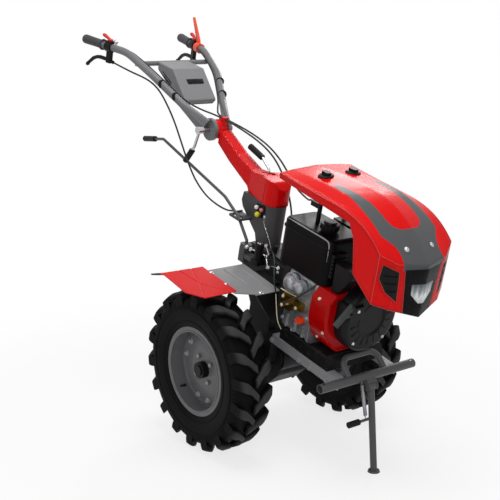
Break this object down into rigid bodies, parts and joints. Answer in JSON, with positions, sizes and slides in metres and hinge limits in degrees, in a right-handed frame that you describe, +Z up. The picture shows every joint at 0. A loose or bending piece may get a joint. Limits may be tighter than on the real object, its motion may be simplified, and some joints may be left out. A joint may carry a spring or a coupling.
{
  "type": "walking tractor",
  "caption": "Two-wheeled diesel walking tractor parked nose-down on a front stand, with lugged tyres, a wedge hood over an air-cooled engine and a tilting, swivelling handlebar",
  "frame": {"origin": "middle of the parked machine's box, on the floor", "axes": "+X forward towards the nose, +Y to the machine's left, +Z up"},
  "size_m": [1.7419, 0.98, 1.5526],
  "materials": {
    "black_plastic": "matt black moulding",
    "red_paint": "glossy red enamel",
    "red_cover": "glossy red moulding",
    "cable_jacket": "black cable jacket",
    "black_paint": "satin black paint",
    "cast": "painted casting",
    "grey_paint": "satin dark grey paint",
    "grey_plastic": "matt grey moulding",
    "alloy": "rough cast alloy",
    "gloss_black": "glossy black moulding",
    "grip_rubber": "soft black rubber",
    "lamp_glass": "clear lamp lens",
    "pump_plate": "yellow zinc plate",
    "light_grey_paint": "satin mid-grey paint",
    "tyre_rubber": "agricultural tyre rubber",
    "orange_plastic": "orange moulding",
    "bright_steel": "plated steel"
  },
  "bodies": {
    "chassis": {"air_cleaner": "black_plastic", "clutch_bell": "cast", "column": "grey_paint", "cylinder_head": "alloy", "engine_base": "black_paint", "engine_block": "alloy", "fan_shroud": "red_paint", "frame_rails": "black_paint", "front_bumper": "grey_paint", "fuel_tank": "gloss_black", "gear_tower": "grey_paint", "gearbox": "cast", "headlamp": "lamp_glass", "hood": "red_paint", "hood_pads": "black_plastic", "hood_posts": "black_paint", "hood_stays": "black_paint", "injection_pump": "pump_plate", "inner_fenders": "light_grey_paint", "muffler": "black_paint", "nose_panel": "gloss_black", "oil_cap": "orange_plastic", "outer_fenders": "red_paint", "rear_hitch": "black_paint", "recoil_starter": "black_plastic", "regulator": "black_plastic", "shift_grip": "grip_rubber", "shift_rod": "grey_paint", "side_vents": "black_plastic", "stand_spring": "bright_steel", "tank_cap": "black_plastic"},
    "right_wheel": {"right_hub": "black_paint", "right_rim": "light_grey_paint", "right_tyre": "tyre_rubber"},
    "left_wheel": {"left_hub": "black_paint", "left_rim": "light_grey_paint", "left_tyre": "tyre_rubber"},
    "stand": {"pedal_grip": "grip_rubber", "stand_leg": "grey_paint"},
    "arm": {"arm_core": "red_paint", "arm_cover": "red_cover", "clamp_lever": "black_paint", "drop_cable_lower": "cable_jacket", "engine_cables": "cable_jacket", "swivel_lever": "grip_rubber"},
    "handlebar": {"bar_cables": "cable_jacket", "clutch_levers": "black_plastic", "console": "grey_plastic", "drop_cable_upper": "cable_jacket", "hand_grips": "grip_rubber", "handlebar": "grey_paint", "reverse_lever": "red_cover", "throttle_levers": "red_cover"}
  },
  "joints": [
    {"name": "right_wheel_spin", "type": "hinge", "parent": "chassis", "child": "right_wheel", "pos_m": [0.103, -0.32, 0.3], "axis": [0, 1, 0], "continuous": true},
    {"name": "left_wheel_spin", "type": "hinge", "parent": "chassis", "child": "left_wheel", "pos_m": [0.103, 0.32, 0.3], "axis": [0, 1, 0], "continuous": true},
    {"name": "stand_fold", "type": "hinge", "parent": "chassis", "child": "stand", "pos_m": [0.62098, 0, 0.30895], "axis": [0, 1, 0], "range_deg": [0, 95], "deforming": ["stand_spring"]},
    {"name": "arm_swivel", "type": "hinge", "parent": "chassis", "child": "arm", "pos_m": [0.09481, 0, 0.8733], "axis": [0.2303, 0, 0.9731], "range_deg": [-25, 25], "deforming": ["engine_cables", "drop_cable_lower"]},
    {"name": "handlebar_tilt", "type": "hinge", "parent": "arm", "child": "handlebar", "pos_m": [-0.26246, 0, 1.12227], "axis": [0, 1, 0], "range_deg": [-25, 10], "deforming": ["bar_cables", "drop_cable_upper"]}
  ]
}
